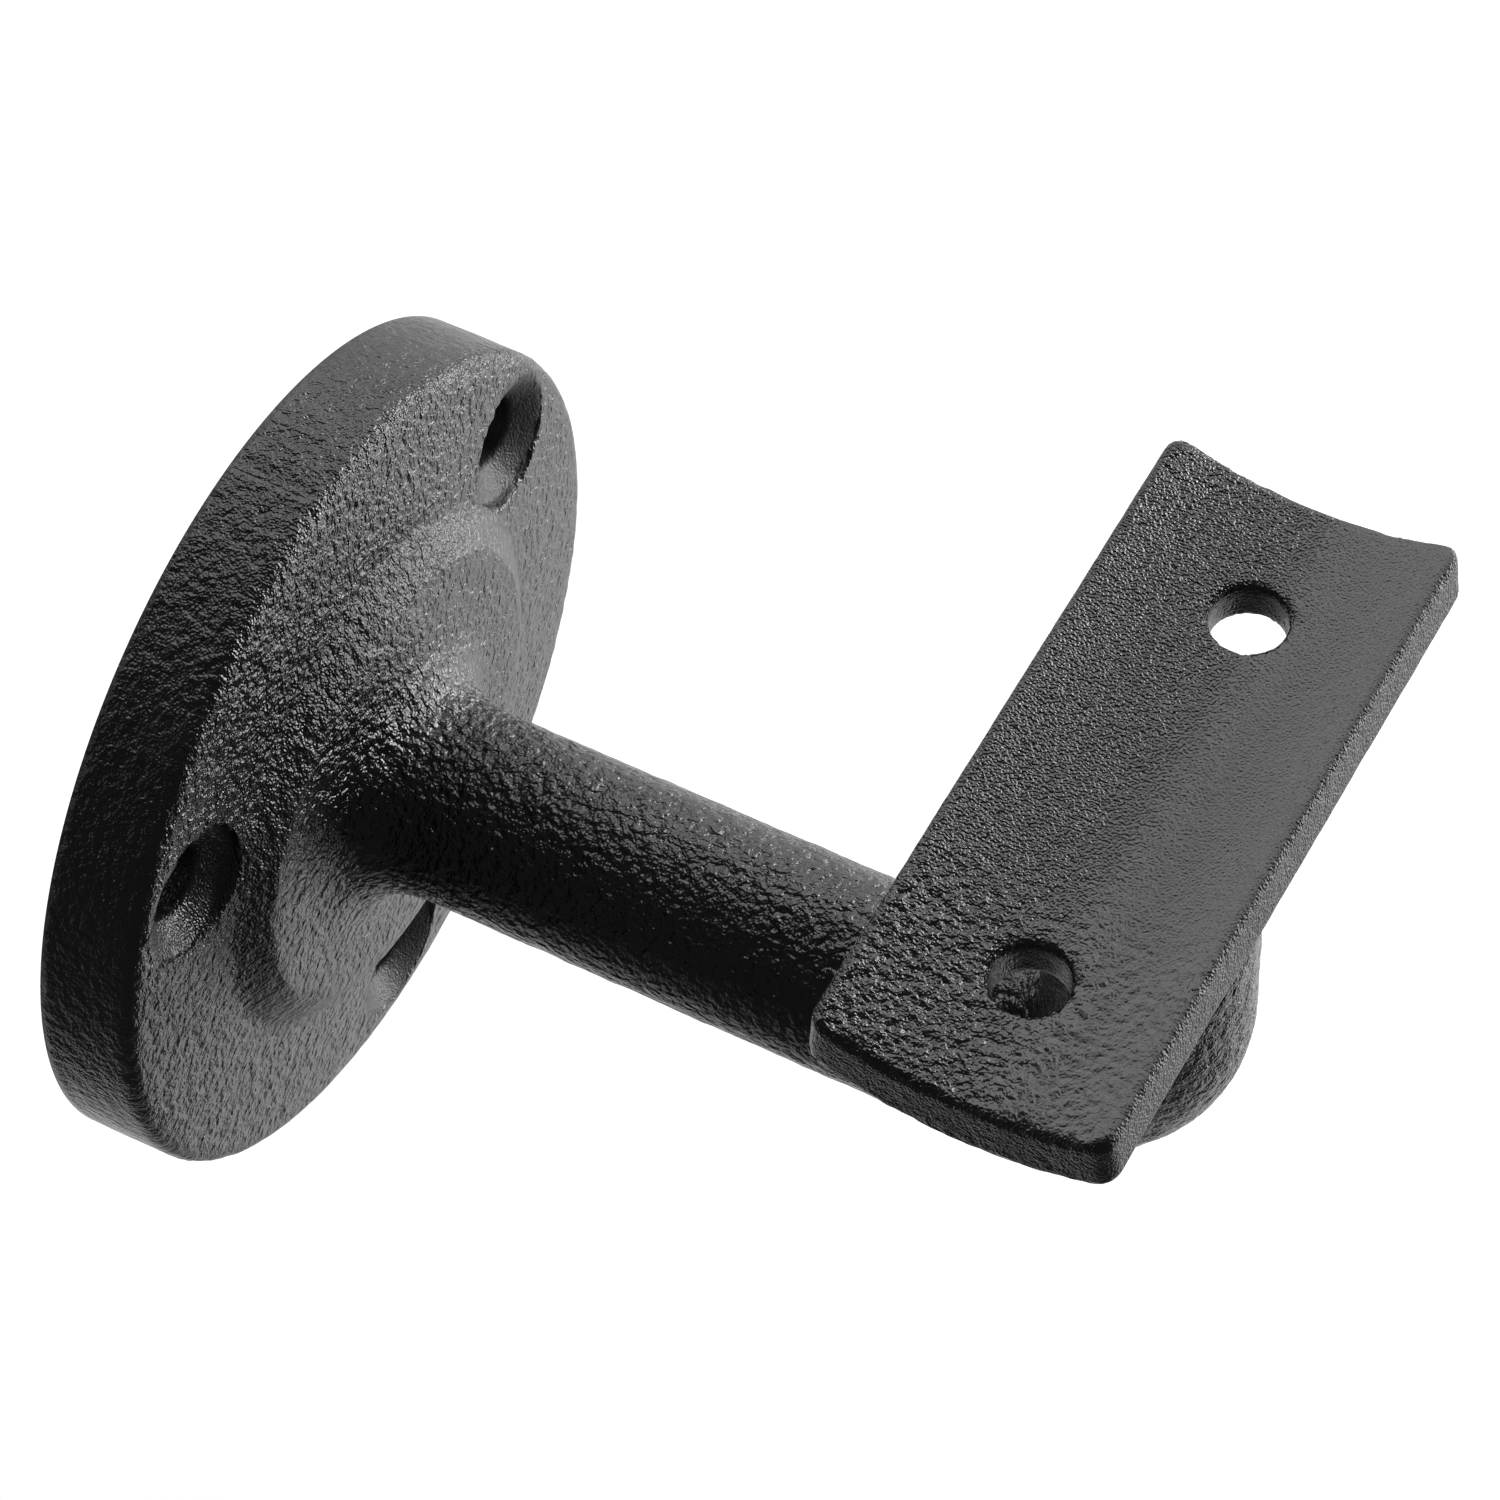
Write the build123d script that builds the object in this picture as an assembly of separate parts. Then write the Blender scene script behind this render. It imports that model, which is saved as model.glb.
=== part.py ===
from build123d import *
import os
from math import cos, radians, sin, sqrt, tan

# Handrail bracket, cast in one piece: a round wall rose with a low boss, a round arm that
# turns up through a quarter bend, and a hollowed saddle plate that carries a round handrail.
# Millimetres. The origin is the middle of the rose's back face, which lies on the wall, and
# the arm runs out from the wall along -Y. X runs along the handrail and Z points up.

# Wall rose
ROSE_DIAMETER = 70.0
ROSE_RIM_DEPTH = 8.2
RIM_EDGE_RADIUS = 1.0
FACE_SLOPE = 5.0  # degrees that the face climbs towards the boss

# Low boss that the arm grows out of
BOSS_TOP_DIAMETER = 38.6
BOSS_FLANK_WIDTH = 3.0
BOSS_HEIGHT = 2.2
BOSS_TOP_SLOPE = 2.5
BOSS_EDGE_RADIUS = 1.4
BOSS_FOOT_RADIUS = 2.5

# Countersunk wall screw holes
SCREW_COUNT = 3
FIRST_SCREW_ANGLE = 30.0
SCREW_HOLE_DIAMETER = 6.2
COUNTERSINK_DIAMETER = 11.0
COUNTERSINK_ANGLE = 110.0
COUNTERSINK_LIP = 0.4  # straight wall between the mouth and the cone
SCREW_TO_RIM = 1.5  # metal left between a countersink and the rim

# Arm, bend and stub
ARM_DIAMETER = 16.3
ARM_ROOT_LENGTH = 5.8  # along the arm, and as much over the boss
REACH = 77.8  # from the wall to the axis of the stub
BEND_RADIUS = 15.5

# Saddle plate
SEAT_HEIGHT = 41.0  # from the arm's axis to the lowest line of the seat
SEAT_RADIUS = 27.5
PLATE_THICKNESS = 5.15
PLATE_LENGTH = 57.9
PLATE_OVERHANG = 3.6  # of the plate's long edges beyond the stub's diameter
PLATE_SETBACK = 1.0  # of the plate's middle from the stub's axis, towards the wall
PLATE_DRAFT = 0.4  # that each long side widens by, from seat to underside
PLATE_CORNER_RADIUS = 1.5
PLATE_EDGE_RADIUS = 0.6
PLATE_ROOT_RADIUS = 1.4

# Handrail screw holes, countersunk from below
HANDRAIL_SCREW_SPACING = 35.0
HANDRAIL_SCREW_DIAMETER = 5.9
HANDRAIL_SINK_DIAMETER = 9.4  # of the countersink, level with the lowest line of the belly
HANDRAIL_SINK_ANGLE = 90.0
HANDRAIL_MOUTH_BEVEL = 0.2

# The cutting tools run on past the metal by this much
CUT_RUN_OUT = 5.0

rose_radius = ROSE_DIAMETER / 2
arm_radius = ARM_DIAMETER / 2
boss_radius = BOSS_TOP_DIAMETER / 2
screw_circle_radius = rose_radius - SCREW_TO_RIM - COUNTERSINK_DIAMETER / 2
bend_start = REACH - BEND_RADIUS
plate_middle = REACH - PLATE_SETBACK
plate_half_width = arm_radius + PLATE_OVERHANG

# A half section of the rose and the arm is drawn as radius and distance from the wall,
# and the bend and the saddle as distance from the wall and height.
half_section = Plane(origin=(0, 0, 0), x_dir=(1, 0, 0), z_dir=(0, 0, -1))
side_view = Plane(origin=(0, 0, 0), x_dir=(0, -1, 0), z_dir=(-1, 0, 0))


def face_depth(radius):
    """Distance from the wall to the sloping face of the rose, at a radius."""
    return ROSE_RIM_DEPTH + (rose_radius - radius) * tan(radians(FACE_SLOPE))


def rose_with_arm():
    """The rose, its boss and the straight arm, turned about the arm's axis."""
    foot_radius = boss_radius + BOSS_FLANK_WIDTH
    boss_edge_depth = face_depth(foot_radius) + BOSS_HEIGHT
    root_climb = (boss_radius - arm_radius) * tan(radians(BOSS_TOP_SLOPE))
    root = Vector(arm_radius, boss_edge_depth + root_climb)
    to_boss_edge = (Vector(boss_radius, boss_edge_depth) - root).normalized()
    flare_start = root + to_boss_edge * ARM_ROOT_LENGTH
    flare_end = root + Vector(0, ARM_ROOT_LENGTH)
    face = FilletPolyline(
        (rose_radius, 0),
        (rose_radius, ROSE_RIM_DEPTH),
        (foot_radius, face_depth(foot_radius)),
        (boss_radius, boss_edge_depth),
        flare_start,
        radius=[RIM_EDGE_RADIUS, BOSS_FOOT_RADIUS, BOSS_EDGE_RADIUS],
    )
    flare = Bezier(flare_start, root, flare_end)
    rest = Polyline(flare_end, (arm_radius, bend_start), (0, bend_start), (0, 0), (rose_radius, 0))
    return revolve(half_section * make_face(face + flare + rest), Axis.Y)


def bend_with_stub():
    """The quarter bend and the stub, which ends inside the saddle plate."""
    stub_top = SEAT_HEIGHT - PLATE_THICKNESS / 2
    bend = TangentArc((bend_start, 0), (REACH, BEND_RADIUS), tangent=(1, 0))
    stub = Line((REACH, BEND_RADIUS), (REACH, stub_top))
    arm_end = Plane(origin=(0, -bend_start, 0), z_dir=(0, -1, 0))
    return sweep(arm_end * Circle(arm_radius), path=side_view * (bend + stub))


def arc_height(radius, lowest, offset):
    """Height of an arc that curves up from its lowest point, at an offset from it."""
    return lowest + radius - sqrt(radius**2 - offset**2)


def saddle_plate():
    """The plate, hollowed along X to a round handrail, with its corners and edges rounded.

    Its belly is the seat's own arc again, lower by the plate's thickness.
    """
    underside = SEAT_HEIGHT - PLATE_THICKNESS
    lower_half = plate_half_width + PLATE_DRAFT
    seat_edge = arc_height(SEAT_RADIUS, SEAT_HEIGHT, plate_half_width)
    underside_edge = arc_height(SEAT_RADIUS, underside, lower_half)
    seat = ThreePointArc((-plate_half_width, seat_edge), (0, SEAT_HEIGHT), (plate_half_width, seat_edge))
    outer_side = Line((plate_half_width, seat_edge), (lower_half, underside_edge))
    belly = ThreePointArc((lower_half, underside_edge), (0, underside), (-lower_half, underside_edge))
    wall_side = Line((-lower_half, underside_edge), (-plate_half_width, seat_edge))
    section = Pos(plate_middle, 0) * make_face(seat + outer_side + belly + wall_side)
    plate = extrude(side_view * section, amount=PLATE_LENGTH / 2, both=True)
    corners = plate.edges().filter_by(GeomType.LINE).filter_by(Axis.X, reverse=True)
    plate = fillet(corners, PLATE_CORNER_RADIUS)
    seat_face = plate.faces().sort_by(lambda face: abs(face.center().Z - SEAT_HEIGHT))[0]
    belly_face = plate.faces().sort_by(lambda face: abs(face.center().Z - underside))[0]
    return fillet(seat_face.edges() + belly_face.edges(), PLATE_EDGE_RADIUS)


def wall_screw_cutter():
    """A countersunk hole about Z: its mouth is at the origin and it points down into the metal."""
    mouth_radius = COUNTERSINK_DIAMETER / 2
    hole_radius = SCREW_HOLE_DIAMETER / 2
    cone_depth = (mouth_radius - hole_radius) / tan(radians(COUNTERSINK_ANGLE / 2))
    hole_end = -face_depth(screw_circle_radius) - CUT_RUN_OUT
    outline = Polyline(
        (0, CUT_RUN_OUT),
        (mouth_radius, CUT_RUN_OUT),
        (mouth_radius, -COUNTERSINK_LIP),
        (hole_radius, -COUNTERSINK_LIP - cone_depth),
        (hole_radius, hole_end),
        (0, hole_end),
        close=True,
    )
    return revolve(Plane.XZ * make_face(outline), Axis.Z)


def wall_screw_places():
    """Where the countersinks open: on the rose's face, evenly round the arm."""
    for number in range(SCREW_COUNT):
        angle = radians(FIRST_SCREW_ANGLE + number * 360 / SCREW_COUNT)
        yield Plane(
            origin=(
                screw_circle_radius * cos(angle),
                -face_depth(screw_circle_radius),
                screw_circle_radius * sin(angle),
            ),
            z_dir=(0, -1, 0),
        )


def handrail_screw_cutter():
    """A hole about Z, with a fine bevel at the seat and a countersink in the underside."""
    hole_radius = HANDRAIL_SCREW_DIAMETER / 2
    sink_radius = HANDRAIL_SINK_DIAMETER / 2
    sink_slope = tan(radians(HANDRAIL_SINK_ANGLE / 2))
    outline = Polyline(
        (0, CUT_RUN_OUT),
        (hole_radius + HANDRAIL_MOUTH_BEVEL + CUT_RUN_OUT, CUT_RUN_OUT),
        (hole_radius, -HANDRAIL_MOUTH_BEVEL),
        (hole_radius, (sink_radius - hole_radius) / sink_slope - PLATE_THICKNESS),
        (sink_radius + sink_slope * CUT_RUN_OUT, -PLATE_THICKNESS - CUT_RUN_OUT),
        (0, -PLATE_THICKNESS - CUT_RUN_OUT),
        close=True,
    )
    return revolve(Plane.XZ * make_face(outline), Axis.Z)


def bracket_casting():
    """The whole bracket as one solid."""
    body = rose_with_arm() + bend_with_stub()
    plate = saddle_plate()
    for side in (-1, 1):
        mouth = Pos(side * HANDRAIL_SCREW_SPACING / 2, -plate_middle, SEAT_HEIGHT)
        plate -= mouth * handrail_screw_cutter()
    casting = body + plate
    room = PLATE_OVERHANG - PLATE_SETBACK - PLATE_EDGE_RADIUS
    seam = new_edges(body, plate, combined=casting)
    casting = fillet(seam, min(PLATE_ROOT_RADIUS, room))
    for place in wall_screw_places():
        casting -= place * wall_screw_cutter()
    return casting


os.makedirs("parts", exist_ok=True)
export_step(bracket_casting(), "parts/bracket_casting.step")
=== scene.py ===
import bmesh
import bpy
import numpy as np
from mathutils import Matrix, Vector, noise
from mathutils.bvhtree import BVHTree
from mathutils.kdtree import KDTree

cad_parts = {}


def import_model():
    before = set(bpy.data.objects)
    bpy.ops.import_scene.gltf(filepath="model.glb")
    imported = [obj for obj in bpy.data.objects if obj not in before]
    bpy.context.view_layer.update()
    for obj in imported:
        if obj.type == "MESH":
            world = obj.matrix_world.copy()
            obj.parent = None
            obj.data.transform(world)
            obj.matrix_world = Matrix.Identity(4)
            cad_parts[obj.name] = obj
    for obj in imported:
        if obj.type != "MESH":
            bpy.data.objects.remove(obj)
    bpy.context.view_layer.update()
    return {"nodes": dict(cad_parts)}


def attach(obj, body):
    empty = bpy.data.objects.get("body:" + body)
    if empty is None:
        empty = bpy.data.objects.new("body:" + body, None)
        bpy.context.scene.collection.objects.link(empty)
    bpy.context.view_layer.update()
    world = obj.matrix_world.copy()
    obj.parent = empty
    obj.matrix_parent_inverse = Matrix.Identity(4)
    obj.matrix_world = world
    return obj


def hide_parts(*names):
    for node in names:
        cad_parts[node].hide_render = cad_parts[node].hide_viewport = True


# The looks of a cast handrail bracket: a dense skin over the casting's solid with the lumps
# and the parting line of its sand mould, a satin black finish over it, and a pale studio.
# Metres, in the part's own frame: the wall is the plane Y = 0, the arm runs out along -Y,
# the handrail lies along X, and Z points up. Where a group of values is in millimetres, its
# heading says so.

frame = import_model()

MM = 0.001

# Skin
SKIN_STEP = 0.475 * MM  # size of the skin's squares
SKIN_RELAX_STEPS = 4
SOLID_WELD = 0.0001 * MM  # corners of the solid's mesh this close to each other are one
OFF_SOLID = (0.015 * MM, 0.045 * MM)  # where relaxed corners start to go back, and go all the way
CRISP_ANGLE = np.radians(50)  # between two faces of the solid that meet in a crisp edge
CRISP_REACH = 0.24 * MM  # the skin's corners this near to a crisp edge lie on it
CRISP_SPACING = 0.05 * MM

# Rose, where the skin is kept true to its flat back and round rim
ROSE_RADIUS = 35 * MM
BACK_REACH = 0.1 * MM  # corners this near to the wall's plane lie on the back
RIM_REACH = 0.15 * MM  # corners this near to the rim's cylinder lie on it
RIM_DEPTH = 7 * MM  # how far out from the wall the rim is a true cylinder
BACK_EDGE_REACH = 0.5 * MM  # corners this near to the back edge, off both its faces, lie on it
OFF_FACE = 0.02 * MM  # corners further than this inside a face are off it

# Lumps in the skin
BROAD_LUMP_SIZE = 3.4 * MM
BROAD_LUMP_HEIGHT = 0.06 * MM
LUMP_SIZE = 1.3 * MM
LUMP_HEIGHT = 0.05 * MM
LUMP_OCTAVES = 2
LUMP_OCTAVE_STEP = 2.0  # how many times smaller each octave's lumps are
LUMP_OCTAVE_FALL = 0.6  # the power of that step by which they are lower
FINE_LUMP_SHARE = 0.15  # what is left of the lumps where the casting came out fine
MOST_COARSE = 1.2  # coarseness past this makes the lumps no higher

# Parting line of the mould: a low flat ridge between two shallow valleys, over the upper side
# of the rose's rim and faintly on over its face
SEAM_PLACE = -0.7 * MM
SEAM_HEIGHT = 0.2 * MM
SEAM_HALF_WIDTH = 0.45 * MM
SEAM_VALLEY = 0.12 * MM
SEAM_VALLEY_PLACE = 1.9  # of the middle of each valley, in the ridge's half widths
SEAM_VALLEY_SPREAD = 0.5
SEAM_WANDER = 0.15 * MM
SEAM_WANDER_SIZE = 5 * MM
SEAM_WANDER_SLICE = 3.7  # the X of the noise that the line wanders by
SEAM_SMOOTH = 0.7  # how much of the grain the ridge is without
SEAM_ON_FACE = 0.4  # the share of its height that it keeps on the face
SEAM_RIM_RADIUS = (33.5, 34.8)  # millimetres between which it climbs to its full height
SEAM_END = 24 * MM  # how near to the arm's axis it still shows
SEAM_DEPTH = 14 * MM  # how far out from the wall it still shows

# Screw holes, in millimetres and degrees
WALL_SCREW_ANGLES = (30, 150, 270)
WALL_SCREW_CIRCLE = 28.0
WALL_SCREW_MOUTH = 5.6
WALL_SCREW_RADIUS = 3.2
WALL_SCREW_CONE_Y = -1  # further out than this, all within the mouth's width is in the hole
WALL_SCREW_FRONT_Y = -12  # and out to this
HANDRAIL_SCREW_X = 17.5
HANDRAIL_SCREW_MOUTH = 3.1
HANDRAIL_SINK_TOP = 37.6  # below this the hole widens by as much as it goes down
HANDRAIL_SCREW_LOW = 35  # below this nothing is in the hole

# Zones of the casting: where each starts and where it is full, in millimetres
ROSE_Y = (-18, -11)
BACK_Y = (-1, -0.3)
OFF_BACK_OUT = (1, 4)  # out from the wall, as all that end in OUT
RIM_RADIUS = (33.5, 34.9)
UPPER_Z = (0, 35)
UPPER_LEAN = 0.6  # how much higher the upper zone starts on the face, for each millimetre of X
FRONT_EDGE_RADIUS = (33, 33.8)
FRONT_EDGE_OUT = (6.6, 7.4)
BEND_OUT = (66, 78)
SEAT_Z = (36, 39)
PLATE_MIDDLE_Y = -76.8
PLATE_END_REACH = (28.3, 28.9)  # from the plate's middle, along X
PLATE_SIDE_REACH = (11.2, 11.8)  # from the plate's middle, along Y
WALL_HALF_REACH = (-6, 4)  # from the plate's middle, towards the wall
COARSE_END_REACH = (5, 17)
UPPER_CORNER_REACH = (22, 34)
UPPER_CORNER_LEAN = 0.8  # of its limit, which runs askew over the plate
OUTER_HALF_OUT = (73, 82)
LOWER_END_REACH = (4, 18)
UPPER_END_REACH = (8, 22)
BOSS_EDGE_RING = (20.5, 3.5)  # the ring's middle radius, and its reach to each side
BOSS_FLANK_RING = (21, 3)
RING_FADE = 2
BOSS_FLANK_Y = (-18, -14)
OUTER_SIDE_REACH = (11.0, 11.6)
OUTER_SIDE_Z = (34, 36)

# How lumpy each zone is
COARSE_FACE = 0.75
COARSE_UPPER_GAIN = 0.85
COARSE_RIM_LOSS = 0.55
COARSE_EDGE_LOSS = 0.3
COARSE_BACK = 0.5
COARSE_ARM = 0.85
COARSE_BEND_GAIN = 0.3
COARSE_SEAT = 0.03
COARSE_LOWER_END = 0.7
COARSE_OUTER_SHARE = 0.3  # of that, what is left on the outer side of the plate's lower end
COARSE_UPPER_CORNER = 0.35
COARSE_SIDES = 0.3
COARSE_HOLES = (0.08, 0.15)  # in the smooth screw holes and in the rough ones, as below

# How strong the fine grain of each zone is
GRAIN_FACE = 0.5
GRAIN_UPPER_GAIN = 0.8
GRAIN_RIM_LOSS = 0.3
GRAIN_BACK = 0.5
GRAIN_ARM = 0.6
GRAIN_BEND_GAIN = 0.8
GRAIN_SEAT = 0.95
GRAIN_LOWER_END_LOSS = 0.3
GRAIN_UPPER_END_GAIN = 0.2
GRAIN_OUTER_HALF_LOSS = 0.72
GRAIN_SIDES = 1.1
GRAIN_HOLES = (0.3, 0.7)

# How much duller the finish is
MATT_FLANK = 0.35
MATT_OUTER_SIDE = 0.8
MATT_HOLES = (1.0, 0.2)

# Finish: lumps of about a millimetre, sand grains of half of that and a fine grain over all,
# as noise scales and as shares of the bump's height
BUMP_HEIGHT = 1.0 * MM
LUMP_SCALE = 1100
LUMP_BUMP = 0.67
SAND_SCALE = 2000
SAND_BUMP = -0.15
SAND_SWIRL_SCALE = 1400
SAND_SWIRL = 0.5 * MM
FINE_SCALE = 5200
FINE_BUMP = 0.18
TONE_SCALE = 220
TONE_COLOURS = ((0.006, 0.006, 0.0062, 1), (0.012, 0.012, 0.0122, 1))
TONE_ROUGHNESS = (0.16, 0.30)
MATT_ROUGHNESS = 0.3  # added where the finish is fully matt
FINISH_IOR = 1.8

# Camera
CAMERA_PLACE = Vector((-0.229577, -0.185114, 0.414118))
CAMERA_RIGHT = Vector((0.476530, -0.878387, -0.036822))
CAMERA_UP = Vector((0.732950, 0.373803, 0.568379))
CAMERA_BACKWARDS = CAMERA_RIGHT.cross(CAMERA_UP)
CAMERA_LENS = 151.285  # in the unit of the sensor's width
SENSOR_WIDTH = 36
CAMERA_CLIP = (0.01, 20)

# Lamps: each has a name, a direction as right, up and backwards of the camera, a width, a
# height and a brightness
LAMPS = (
    ("key", (0.92, 0.30, -0.15), 0.4, 0.4, 10.6),
    ("upper_right", (0.75, 0.65, 0.0), 0.3, 0.3, 7.2),
    ("top", (-0.1, 1.0, 0.05), 1.3, 0.6, 0.98),
    ("right_behind", (0.6, 0.4, -0.7), 0.3, 0.3, 6.6),
    ("left", (-0.95, 0.2, 0.0), 0.3, 0.3, 0.5),
    ("top_front", (0.1, 0.85, 0.5), 0.4, 0.3, 2.4),
)
LAMP_DISTANCE = 0.9
BRACKET_MIDDLE = Vector((0, -0.04, 0))

# Room and floor
WHITE = (1, 1, 1, 1)
BACKDROP_SIDE = Vector((0.772, 0.438, -0.460))  # where gloss sees the white backdrop
BACKDROP_FADE = (0.1, 0.9)  # from the dim room to the white, along that direction
ROOM_LIGHT = 0.045  # of the room as gloss sees it away from the backdrop
ROOM_FILL = 0.15  # of the room as it lights the bracket and the floor
FLOOR_HEIGHT = -0.3
FLOOR_X = (0.06, 1.6)
FLOOR_Y = (-1.0, 1.0)
FLOOR_COLOUR = (0.85, 0.85, 0.85, 1)
FLOOR_GLOW = 0.6  # added to its lit colour where the camera sees it
FLOOR_MIRRORED_GLOW = 0.35  # and where gloss does


def ramp(values, low, high):
    """Smooth climb from 0 at low to 1 at high."""
    share = np.clip((values - low) / (high - low), 0, 1)
    return share * share * (3 - 2 * share)


def ring(radius, middle, reach):
    """1 on a ring of a middle radius, and 0 where the radius is further from it than its reach."""
    return ramp(reach - abs(radius - middle), 0, RING_FADE)


def at_least(least, share):
    """A share squeezed so that 0 becomes the least and 1 stays 1."""
    return least + (1 - least) * share


def lumps(point, size):
    """Fractal noise of a point, about -1 to 1, with lumps of about a size."""
    return noise.fractal(
        point / size,
        LUMP_OCTAVE_FALL,
        LUMP_OCTAVE_STEP,
        LUMP_OCTAVES,
        noise_basis="PERLIN_NEW",
    )


def seam(point):
    """How much of the parting line's ridge is at a point, and how much of its valleys."""
    radius = np.hypot(point.x, point.z)
    if point.z < 0 or point.y < -SEAM_DEPTH or radius < SEAM_END:
        return 0.0, 0.0
    slice_point = Vector((SEAM_WANDER_SLICE, point.y, point.z))
    wander = SEAM_WANDER * noise.noise(slice_point / SEAM_WANDER_SIZE)
    across = (point.x - SEAM_PLACE - wander) / SEAM_HALF_WIDTH
    share = at_least(SEAM_ON_FACE, ramp(radius / MM, *SEAM_RIM_RADIUS))
    ridge = np.exp(-(across**4))
    valleys = sum(
        np.exp(-((across - place) ** 2) / SEAM_VALLEY_SPREAD)
        for place in (SEAM_VALLEY_PLACE, -SEAM_VALLEY_PLACE)
    )
    return share * ridge, share * valleys


class Zones:
    """Where each place is in millimetres, and how much it belongs to each zone, from 0 to 1."""

    def __init__(self, places):
        self.x, self.y, self.z = (places / MM).T
        self.out = -self.y
        self.radius = np.hypot(self.x, self.z)
        self.from_plate = self.y - PLATE_MIDDLE_Y
        self.rose = ramp(self.y, *ROSE_Y)
        self.back = ramp(self.y, *BACK_Y)
        self.off_back = ramp(self.out, *OFF_BACK_OUT)
        self.rim = ramp(self.radius, *RIM_RADIUS)
        self.upper = ramp(self.z - UPPER_LEAN * self.x * (1 - self.rim), *UPPER_Z)
        self.bend = ramp(self.out, *BEND_OUT)
        self.seat = ramp(self.z, *SEAT_Z)
        ends = ramp(abs(self.x), *PLATE_END_REACH)
        self.sides = np.maximum(ends, ramp(abs(self.from_plate), *PLATE_SIDE_REACH))

    def joined(self, rose, back, arm, seat, sides):
        """One value for each place, from what it is in each zone."""
        rose = rose + (back - rose) * self.back
        seat = seat + (sides - seat) * self.sides
        below = (1 - self.rose) * arm + self.rose * rose
        return (1 - self.seat) * below + self.seat * seat


def coarseness(zones):
    """How lumpy the mould left each place: most on the rose's upper face, least along the seat."""
    front_edge = ramp(zones.radius, *FRONT_EDGE_RADIUS) * ramp(zones.out, *FRONT_EDGE_OUT)
    edges = (front_edge + ring(zones.radius, *BOSS_EDGE_RING)) * zones.off_back
    rose = COARSE_FACE + COARSE_UPPER_GAIN * zones.upper
    rose = rose * (1 - COARSE_RIM_LOSS * zones.rim) * (1 - COARSE_EDGE_LOSS * edges)
    wall_half = at_least(COARSE_OUTER_SHARE, ramp(zones.from_plate, *WALL_HALF_REACH))
    lower_end = ramp(-zones.x, *COARSE_END_REACH) * wall_half
    askew = zones.x + UPPER_CORNER_LEAN * zones.from_plate
    upper_corner = ramp(askew, *UPPER_CORNER_REACH)
    ends = np.maximum(COARSE_LOWER_END * lower_end, COARSE_UPPER_CORNER * upper_corner)
    arm = COARSE_ARM + COARSE_BEND_GAIN * zones.bend
    return zones.joined(rose, COARSE_BACK, arm, COARSE_SEAT + ends, COARSE_SIDES)


def graininess(zones):
    """How strong the fine grain is: most in the bend, least along the seat's outer half."""
    rose = (GRAIN_FACE + GRAIN_UPPER_GAIN * zones.upper) * (1 - GRAIN_RIM_LOSS * zones.rim)
    lower_end = ramp(-zones.x, *LOWER_END_REACH)
    upper_end = ramp(zones.x, *UPPER_END_REACH)
    seat = GRAIN_SEAT - GRAIN_LOWER_END_LOSS * lower_end + GRAIN_UPPER_END_GAIN * upper_end
    seat = seat * (1 - GRAIN_OUTER_HALF_LOSS * ramp(zones.out, *OUTER_HALF_OUT))
    arm = GRAIN_ARM + GRAIN_BEND_GAIN * zones.bend
    return zones.joined(rose, GRAIN_BACK, arm, seat, GRAIN_SIDES)


def mattness(zones):
    """How much duller the finish is: on the boss's flank, and along the plate's outer side."""
    flank = ring(zones.radius, *BOSS_FLANK_RING) * zones.off_back * ramp(zones.y, *BOSS_FLANK_Y)
    outer_side = ramp(-zones.from_plate, *OUTER_SIDE_REACH) * ramp(zones.z, *OUTER_SIDE_Z)
    return np.maximum(MATT_FLANK * flank, MATT_OUTER_SIDE * outer_side)


def in_holes(zones):
    """Whether each place is in one of the smooth screw holes, and whether it is in a rough one."""
    smooth = np.zeros(len(zones.x), bool)
    rough = np.zeros(len(zones.x), bool)
    wide = np.where(zones.y < WALL_SCREW_CONE_Y, WALL_SCREW_MOUTH, WALL_SCREW_RADIUS)
    for angle, holes in zip(np.radians(WALL_SCREW_ANGLES), (smooth, rough, smooth)):
        hole_x = WALL_SCREW_CIRCLE * np.cos(angle)
        hole_z = WALL_SCREW_CIRCLE * np.sin(angle)
        away = np.hypot(zones.x - hole_x, zones.z - hole_z)
        holes |= (away < wide) & (zones.y > WALL_SCREW_FRONT_Y)
    for side in (-1, 1):
        away = np.hypot(zones.x - side * HANDRAIL_SCREW_X, zones.from_plate)
        away -= np.maximum(HANDRAIL_SINK_TOP - zones.z, 0)
        rough |= (away < HANDRAIL_SCREW_MOUTH) & (zones.z > HANDRAIL_SCREW_LOW)
    return smooth, rough


def rows(elements, name):
    """The three numbers that each of a mesh's elements has under a name, as one row each."""
    values = np.empty(len(elements) * 3)
    elements.foreach_get(name, values)
    return values.reshape(-1, 3)


def crisp_edges(shape):
    """A search tree of points along the edges where faces of the solid meet at a crisp angle."""
    points = []
    for edge in shape.edges:
        if edge.calc_face_angle() > CRISP_ANGLE:
            start, end = (corner.co for corner in edge.verts)
            steps = 1 + int(edge.calc_length() / CRISP_SPACING)
            points += [start.lerp(end, step / steps) for step in range(steps)]
    tree = KDTree(len(points))
    for number, point in enumerate(points):
        tree.insert(point, number)
    tree.balance()
    return tree


def fitted(places, solid):
    """The places put back on the solid where they left it, and on its crisp edges where near."""
    shape = bmesh.new()
    shape.from_mesh(solid.data)
    bmesh.ops.remove_doubles(shape, verts=shape.verts, dist=SOLID_WELD)
    surface = BVHTree.FromBMesh(shape)
    crisp = crisp_edges(shape)
    shape.free()
    nearest = np.empty_like(places)
    edge_points = np.empty_like(places)
    edge_away = np.empty(len(places))
    for number, place in enumerate(places.tolist()):
        nearest[number] = surface.find_nearest(place)[0]
        edge_points[number], _, edge_away[number] = crisp.find(place)
    off = nearest - places
    share = ramp(np.linalg.norm(off, axis=1), *OFF_SOLID)
    made = places + share[:, None] * off
    on_edge = edge_away < CRISP_REACH
    made[on_edge] = edge_points[on_edge]
    return made


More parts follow.
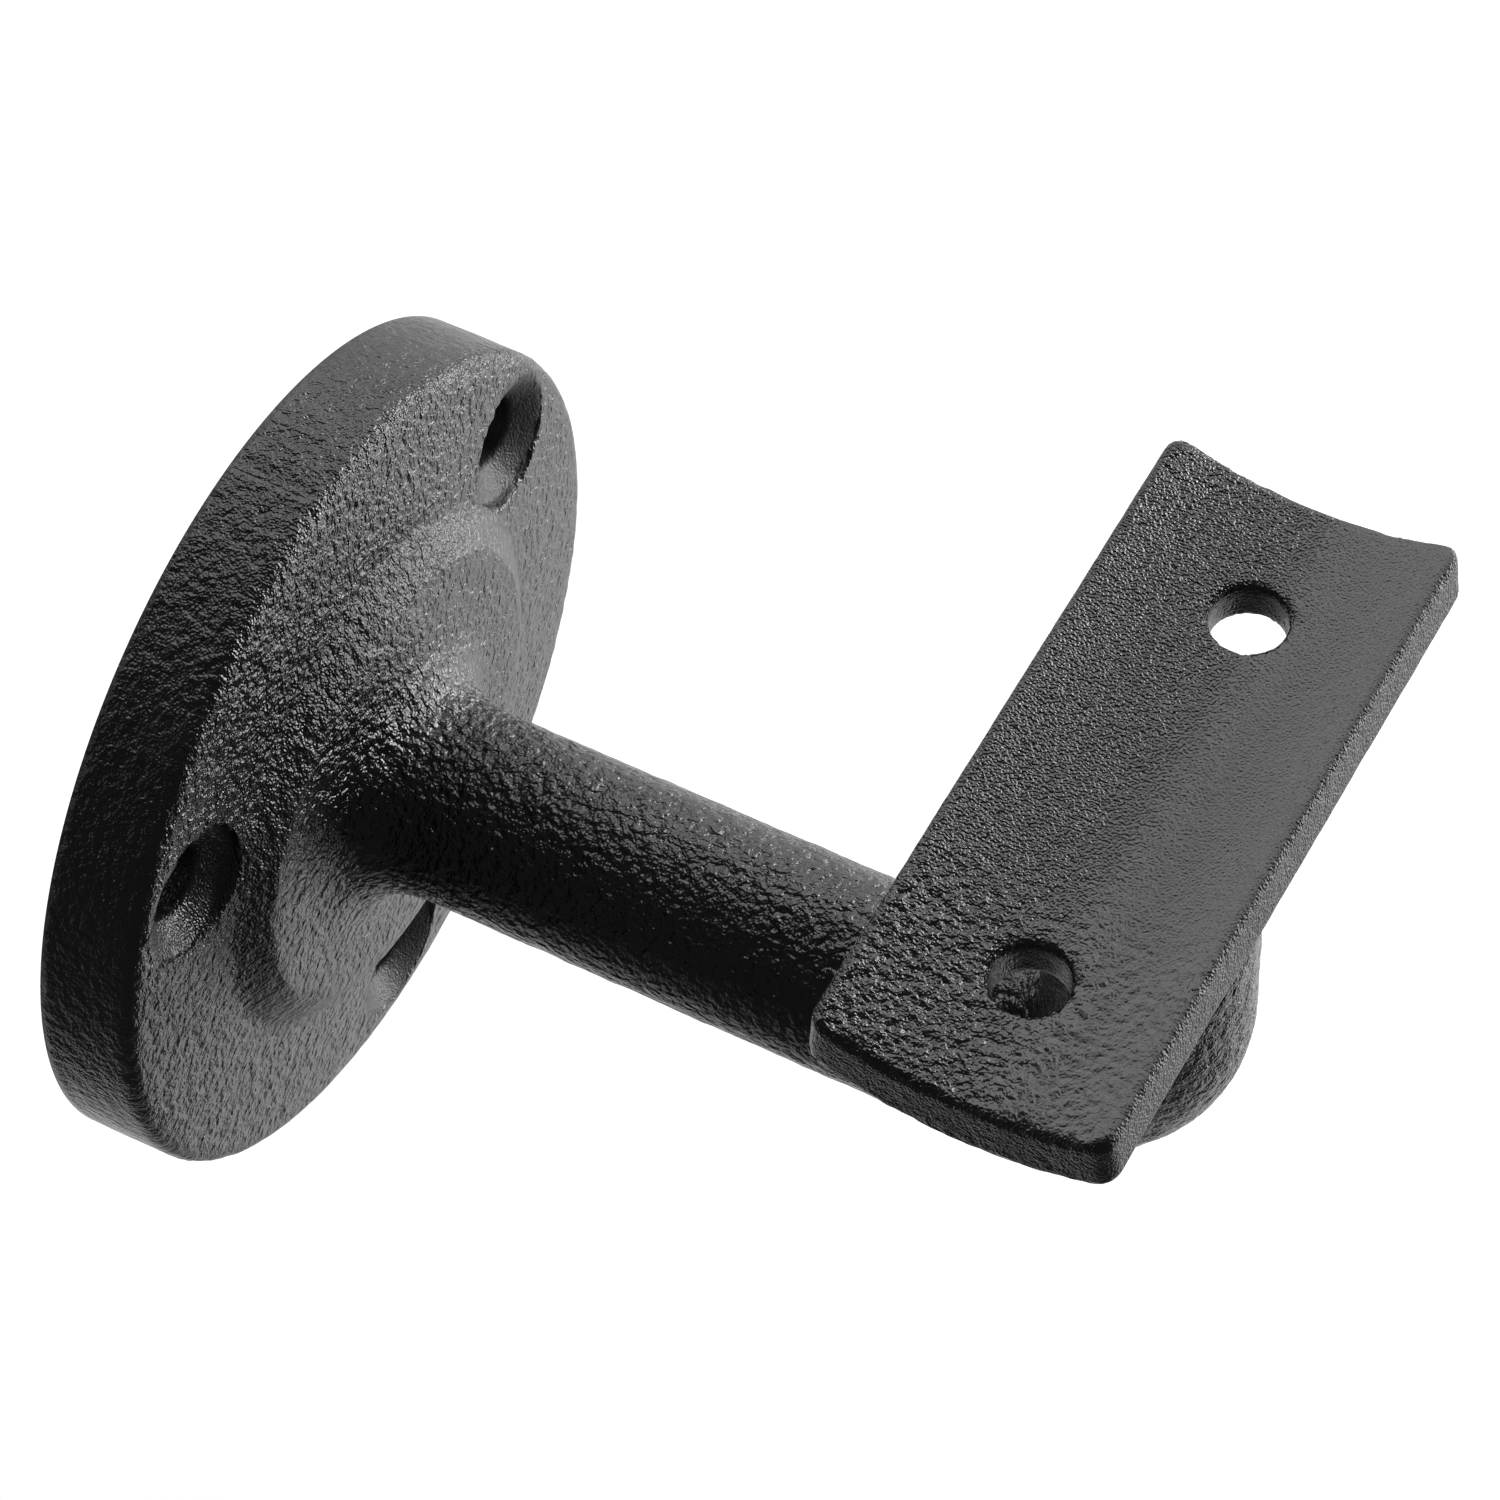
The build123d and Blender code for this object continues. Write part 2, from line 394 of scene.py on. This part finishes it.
def relaxed(places, mesh, still):
    """The places moved towards the middle of their neighbours, apart from those that stay still."""
    ends = np.empty(len(mesh.edges) * 2, np.int64)
    mesh.edges.foreach_get("vertices", ends)
    first, second = ends.reshape(-1, 2).T
    count = len(places)
    neighbours = np.bincount(ends, minlength=count)
    for _ in range(SKIN_RELAX_STEPS):
        sums = [
            np.bincount(first, places[second, axis], count)
            + np.bincount(second, places[first, axis], count)
            for axis in range(3)
        ]
        middle = np.stack(sums, axis=1) / neighbours[:, None]
        places = np.where(still[:, None], places, (places + middle) / 2)
    return places


def evened(mesh, solid):
    """The places of the mesh's corners, relaxed but true to the solid's edges and rim."""
    places = rows(mesh.vertices, "co")
    inset = ROSE_RADIUS - np.hypot(places[:, 0], places[:, 2])
    depth = -places[:, 1]
    # a square that holds the crisp back edge has one corner, a little inside both faces
    off_faces = (inset > OFF_FACE) & (depth > OFF_FACE)
    back_edge = off_faces & (inset < BACK_EDGE_REACH) & (depth < BACK_EDGE_REACH)
    on_cylinder = (inset < RIM_REACH) & (depth > OFF_FACE) & (depth < RIM_DEPTH)
    back = depth < BACK_REACH
    places = fitted(relaxed(places, mesh, back), solid)
    angle = np.arctan2(places[:, 2], places[:, 0])
    rim = on_cylinder | back_edge
    places[rim, 0] = ROSE_RADIUS * np.cos(angle[rim])
    places[rim, 2] = ROSE_RADIUS * np.sin(angle[rim])
    places[back | back_edge, 1] = 0
    return places


def add_object(name, data):
    """A new object in the scene."""
    made = bpy.data.objects.new(name, data)
    bpy.context.scene.collection.objects.link(made)
    return made


def even_mesh(solid):
    """A copy of the solid's mesh in even squares."""
    draft = add_object("draft", solid.data.copy())
    remesh = draft.modifiers.new("even_squares", "REMESH")
    remesh.mode = "VOXEL"
    remesh.voxel_size = SKIN_STEP
    remesh.use_smooth_shade = True
    evaluated = draft.evaluated_get(bpy.context.evaluated_depsgraph_get())
    mesh = bpy.data.meshes.new_from_object(evaluated)
    bpy.data.objects.remove(draft)
    mesh.name = "bracket_skin"
    mesh.materials.clear()
    return mesh


def cast_skin():
    """A dense, evenly meshed copy of the casting, raised and sunk by its lumps and its seam."""
    solid = frame["nodes"]["bracket_casting"]
    mesh = even_mesh(solid)
    places = evened(mesh, solid)
    mesh.vertices.foreach_set("co", places.ravel())
    mesh.update()
    normals = rows(mesh.vertex_normals, "vector")

    zones = Zones(places)
    holes = in_holes(zones)
    coarse = np.select(holes, COARSE_HOLES, coarseness(zones))
    grain = np.select(holes, GRAIN_HOLES, graininess(zones))
    matt = np.select(holes, MATT_HOLES, mattness(zones))
    lump_share = at_least(FINE_LUMP_SHARE, np.minimum(coarse, MOST_COARSE))
    lump_share[np.logical_or(*holes)] = 0

    lift = np.empty(len(places))
    for number, place in enumerate(places.tolist()):
        point = Vector(place)
        ridge, valleys = seam(point)
        broad = BROAD_LUMP_HEIGHT * lumps(point, BROAD_LUMP_SIZE)
        small = LUMP_HEIGHT * lumps(point, LUMP_SIZE)
        parting = SEAM_HEIGHT * ridge - SEAM_VALLEY * valleys
        lift[number] = parting + lump_share[number] * (broad + small)
        coarse[number] *= 1 - SEAM_SMOOTH * ridge
        grain[number] *= 1 - SEAM_SMOOTH * ridge
    # the back face stays flat against the wall
    lift[places[:, 1] > -BACK_REACH] = 0
    places += normals * lift[:, None]
    mesh.vertices.foreach_set("co", places.ravel())

    for name, values in (("coarse", coarse), ("grain", grain), ("matt", matt)):
        attribute = mesh.attributes.new(name, "FLOAT", "POINT")
        attribute.data.foreach_set("value", values.astype(np.float32))
    mesh.update()
    return add_object("bracket_skin", mesh)


class Nodes:
    """Builds a node tree: makes nodes, and joins each given socket to what feeds it."""

    def __init__(self, owner):
        owner.use_nodes = True
        self.tree = owner.node_tree
        self.tree.nodes.clear()

    def add(self, kind, inputs=None, **settings):
        """A node of a kind, its settings, and its inputs as numbers, colours or other outputs."""
        made = self.tree.nodes.new("ShaderNode" + kind)
        for name, value in settings.items():
            setattr(made, name, value)
        for name, value in (inputs or {}).items():
            if isinstance(value, bpy.types.NodeSocket):
                self.tree.links.new(value, made.inputs[name])
            else:
                made.inputs[name].default_value = value
        return made

    def math(self, operation, first, second):
        """The result of one sum of two numbers or outputs."""
        return self.add("Math", {0: first, 1: second}, operation=operation).outputs["Value"]

    def blend(self, share, low, high):
        """Between two numbers or outputs by a share."""
        return self.add("Mix", {"Factor": share, "A": low, "B": high}).outputs["Result"]

    def noise(self, place, scale, detail):
        """A noise texture."""
        return self.add("TexNoise", {"Vector": place, "Scale": scale, "Detail": detail})

    def attribute(self, name):
        """A number that the mesh holds for each of its corners."""
        return self.add("Attribute", attribute_name=name).outputs["Fac"]

    def relief(self, texture, share, height):
        """A texture as a height, where the share says how much of it there is."""
        return self.math("MULTIPLY", texture, self.math("MULTIPLY", share, height))


def cast_iron():
    """Satin black finish over a rough cast surface."""
    material = bpy.data.materials.new("black_cast_iron")
    nodes = Nodes(material)
    place = nodes.add("TexCoord").outputs["Object"]
    coarse = nodes.attribute("coarse")
    swirl = nodes.noise(place, SAND_SWIRL_SCALE, detail=1.0).outputs["Color"]
    bent = nodes.add(
        "VectorMath",
        {0: swirl, 1: (SAND_SWIRL, SAND_SWIRL, SAND_SWIRL), 2: place},
        operation="MULTIPLY_ADD",
    ).outputs["Vector"]
    lump = nodes.noise(place, LUMP_SCALE, detail=1.0).outputs["Fac"]
    sand = nodes.add("TexVoronoi", {"Vector": bent, "Scale": SAND_SCALE}).outputs["Distance"]
    fine = nodes.noise(place, FINE_SCALE, detail=0.0).outputs["Fac"]
    lump_height = nodes.relief(lump, coarse, LUMP_BUMP)
    sand_height = nodes.relief(sand, coarse, SAND_BUMP)
    fine_height = nodes.relief(fine, nodes.attribute("grain"), FINE_BUMP)
    height = nodes.math("ADD", nodes.math("ADD", lump_height, sand_height), fine_height)
    bump = nodes.add("Bump", {"Height": height, "Strength": 1.0, "Distance": BUMP_HEIGHT})

    tone = nodes.noise(place, TONE_SCALE, detail=3.0).outputs["Fac"]
    dark, light = TONE_COLOURS
    colour = nodes.add("Mix", {"Factor": tone, "A": dark, "B": light}, data_type="RGBA")
    sheen = nodes.blend(tone, *TONE_ROUGHNESS)
    dullness = nodes.math("MULTIPLY", nodes.attribute("matt"), MATT_ROUGHNESS)
    shader = nodes.add(
        "BsdfPrincipled",
        {
            "Base Color": colour.outputs["Result"],
            "Roughness": nodes.math("ADD", sheen, dullness),
            "IOR": FINISH_IOR,
            "Normal": bump.outputs["Normal"],
        },
    )
    nodes.add("OutputMaterial", {"Surface": shader.outputs["BSDF"]})
    return material


def axes_at(right, up, backwards, place):
    """The matrix of an object at a place, with its own axes along three directions."""
    axes = Matrix((right, up, backwards)).transposed()
    return Matrix.Translation(place) @ axes.to_4x4()


def camera():
    """The camera at the photograph's viewing angle."""
    data = bpy.data.cameras.new("camera")
    data.lens = CAMERA_LENS
    data.sensor_width = SENSOR_WIDTH
    data.clip_start, data.clip_end = CAMERA_CLIP
    made = add_object("camera", data)
    made.matrix_world = axes_at(CAMERA_RIGHT, CAMERA_UP, CAMERA_BACKWARDS, CAMERA_PLACE)
    bpy.context.scene.camera = made


def softbox(name, direction, width, height, brightness):
    """A lamp that faces the bracket from a direction given as right, up and backwards."""
    right, up, backwards = direction
    towards = CAMERA_RIGHT * right + CAMERA_UP * up + CAMERA_BACKWARDS * backwards
    towards.normalize()
    level = CAMERA_BACKWARDS.cross(towards).normalized()
    data = bpy.data.lights.new(name, "AREA")
    data.shape = "RECTANGLE"
    data.size = width
    data.size_y = height
    data.energy = brightness * np.pi * width * height
    place = BRACKET_MIDDLE + towards * LAMP_DISTANCE
    made = add_object(name, data)
    made.matrix_world = axes_at(level, towards.cross(level), towards, place)


def seen_white(nodes):
    """Whether a ray is the camera's or comes through glass, and whether gloss mirrors it."""
    rays = nodes.add("LightPath").outputs
    direct = nodes.math("MAXIMUM", rays["Is Camera Ray"], rays["Is Transmission Ray"])
    return direct, rays["Is Glossy Ray"]


def world():
    """A room that the camera sees white and gloss sees white on one side, with a dim even light."""
    made = bpy.data.worlds.new("studio")
    bpy.context.scene.world = made
    nodes = Nodes(made)
    direct, gloss = seen_white(nodes)
    place = nodes.add("TexCoord").outputs["Generated"]
    side = nodes.add("VectorMath", {0: place, 1: BACKDROP_SIDE}, operation="DOT_PRODUCT")
    fade_start, fade_end = BACKDROP_FADE
    backdrop = nodes.add(
        "MapRange",
        {
            "Value": side.outputs["Value"],
            "From Min": fade_start,
            "From Max": fade_end,
            "To Min": ROOM_LIGHT,
            "To Max": 1.0,
        },
        interpolation_type="SMOOTHSTEP",
    ).outputs["Result"]
    strength = nodes.blend(direct, nodes.blend(gloss, ROOM_FILL, backdrop), 1.0)
    light = nodes.add("Background", {"Color": WHITE, "Strength": strength})
    nodes.add("OutputWorld", {"Surface": light.outputs["Background"]})


def white_sheet():
    """Pale paper that looks white to the camera even where it is dimly lit."""
    material = bpy.data.materials.new("white_sheet")
    nodes = Nodes(material)
    direct, gloss = seen_white(nodes)
    sheet = nodes.add("BsdfDiffuse", {"Color": FLOOR_COLOUR})
    seen_glow = nodes.math("MULTIPLY", direct, FLOOR_GLOW)
    mirrored_glow = nodes.math("MULTIPLY", gloss, FLOOR_MIRRORED_GLOW)
    strength = nodes.math("ADD", seen_glow, mirrored_glow)
    glow = nodes.add("Emission", {"Color": WHITE, "Strength": strength})
    both = nodes.add("AddShader", {0: sheet.outputs["BSDF"], 1: glow.outputs["Emission"]})
    nodes.add("OutputMaterial", {"Surface": both.outputs["Shader"]})
    return material


def floor():
    """A white sheet far below the bracket, which takes its shadow."""
    mesh = bpy.data.meshes.new("floor")
    low_x, high_x = FLOOR_X
    low_y, high_y = FLOOR_Y
    outline = ((low_x, low_y), (high_x, low_y), (high_x, high_y), (low_x, high_y))
    mesh.from_pydata([(x, y, FLOOR_HEIGHT) for x, y in outline], [], [(0, 1, 2, 3)])
    mesh.materials.append(white_sheet())
    add_object("floor", mesh)


skin = cast_skin()
skin.data.materials.append(cast_iron())
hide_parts("bracket_casting")
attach(skin, "root")
camera()
world()
floor()
for lamp in LAMPS:
    softbox(*lamp)

bpy.context.scene.view_settings.view_transform = "Standard"
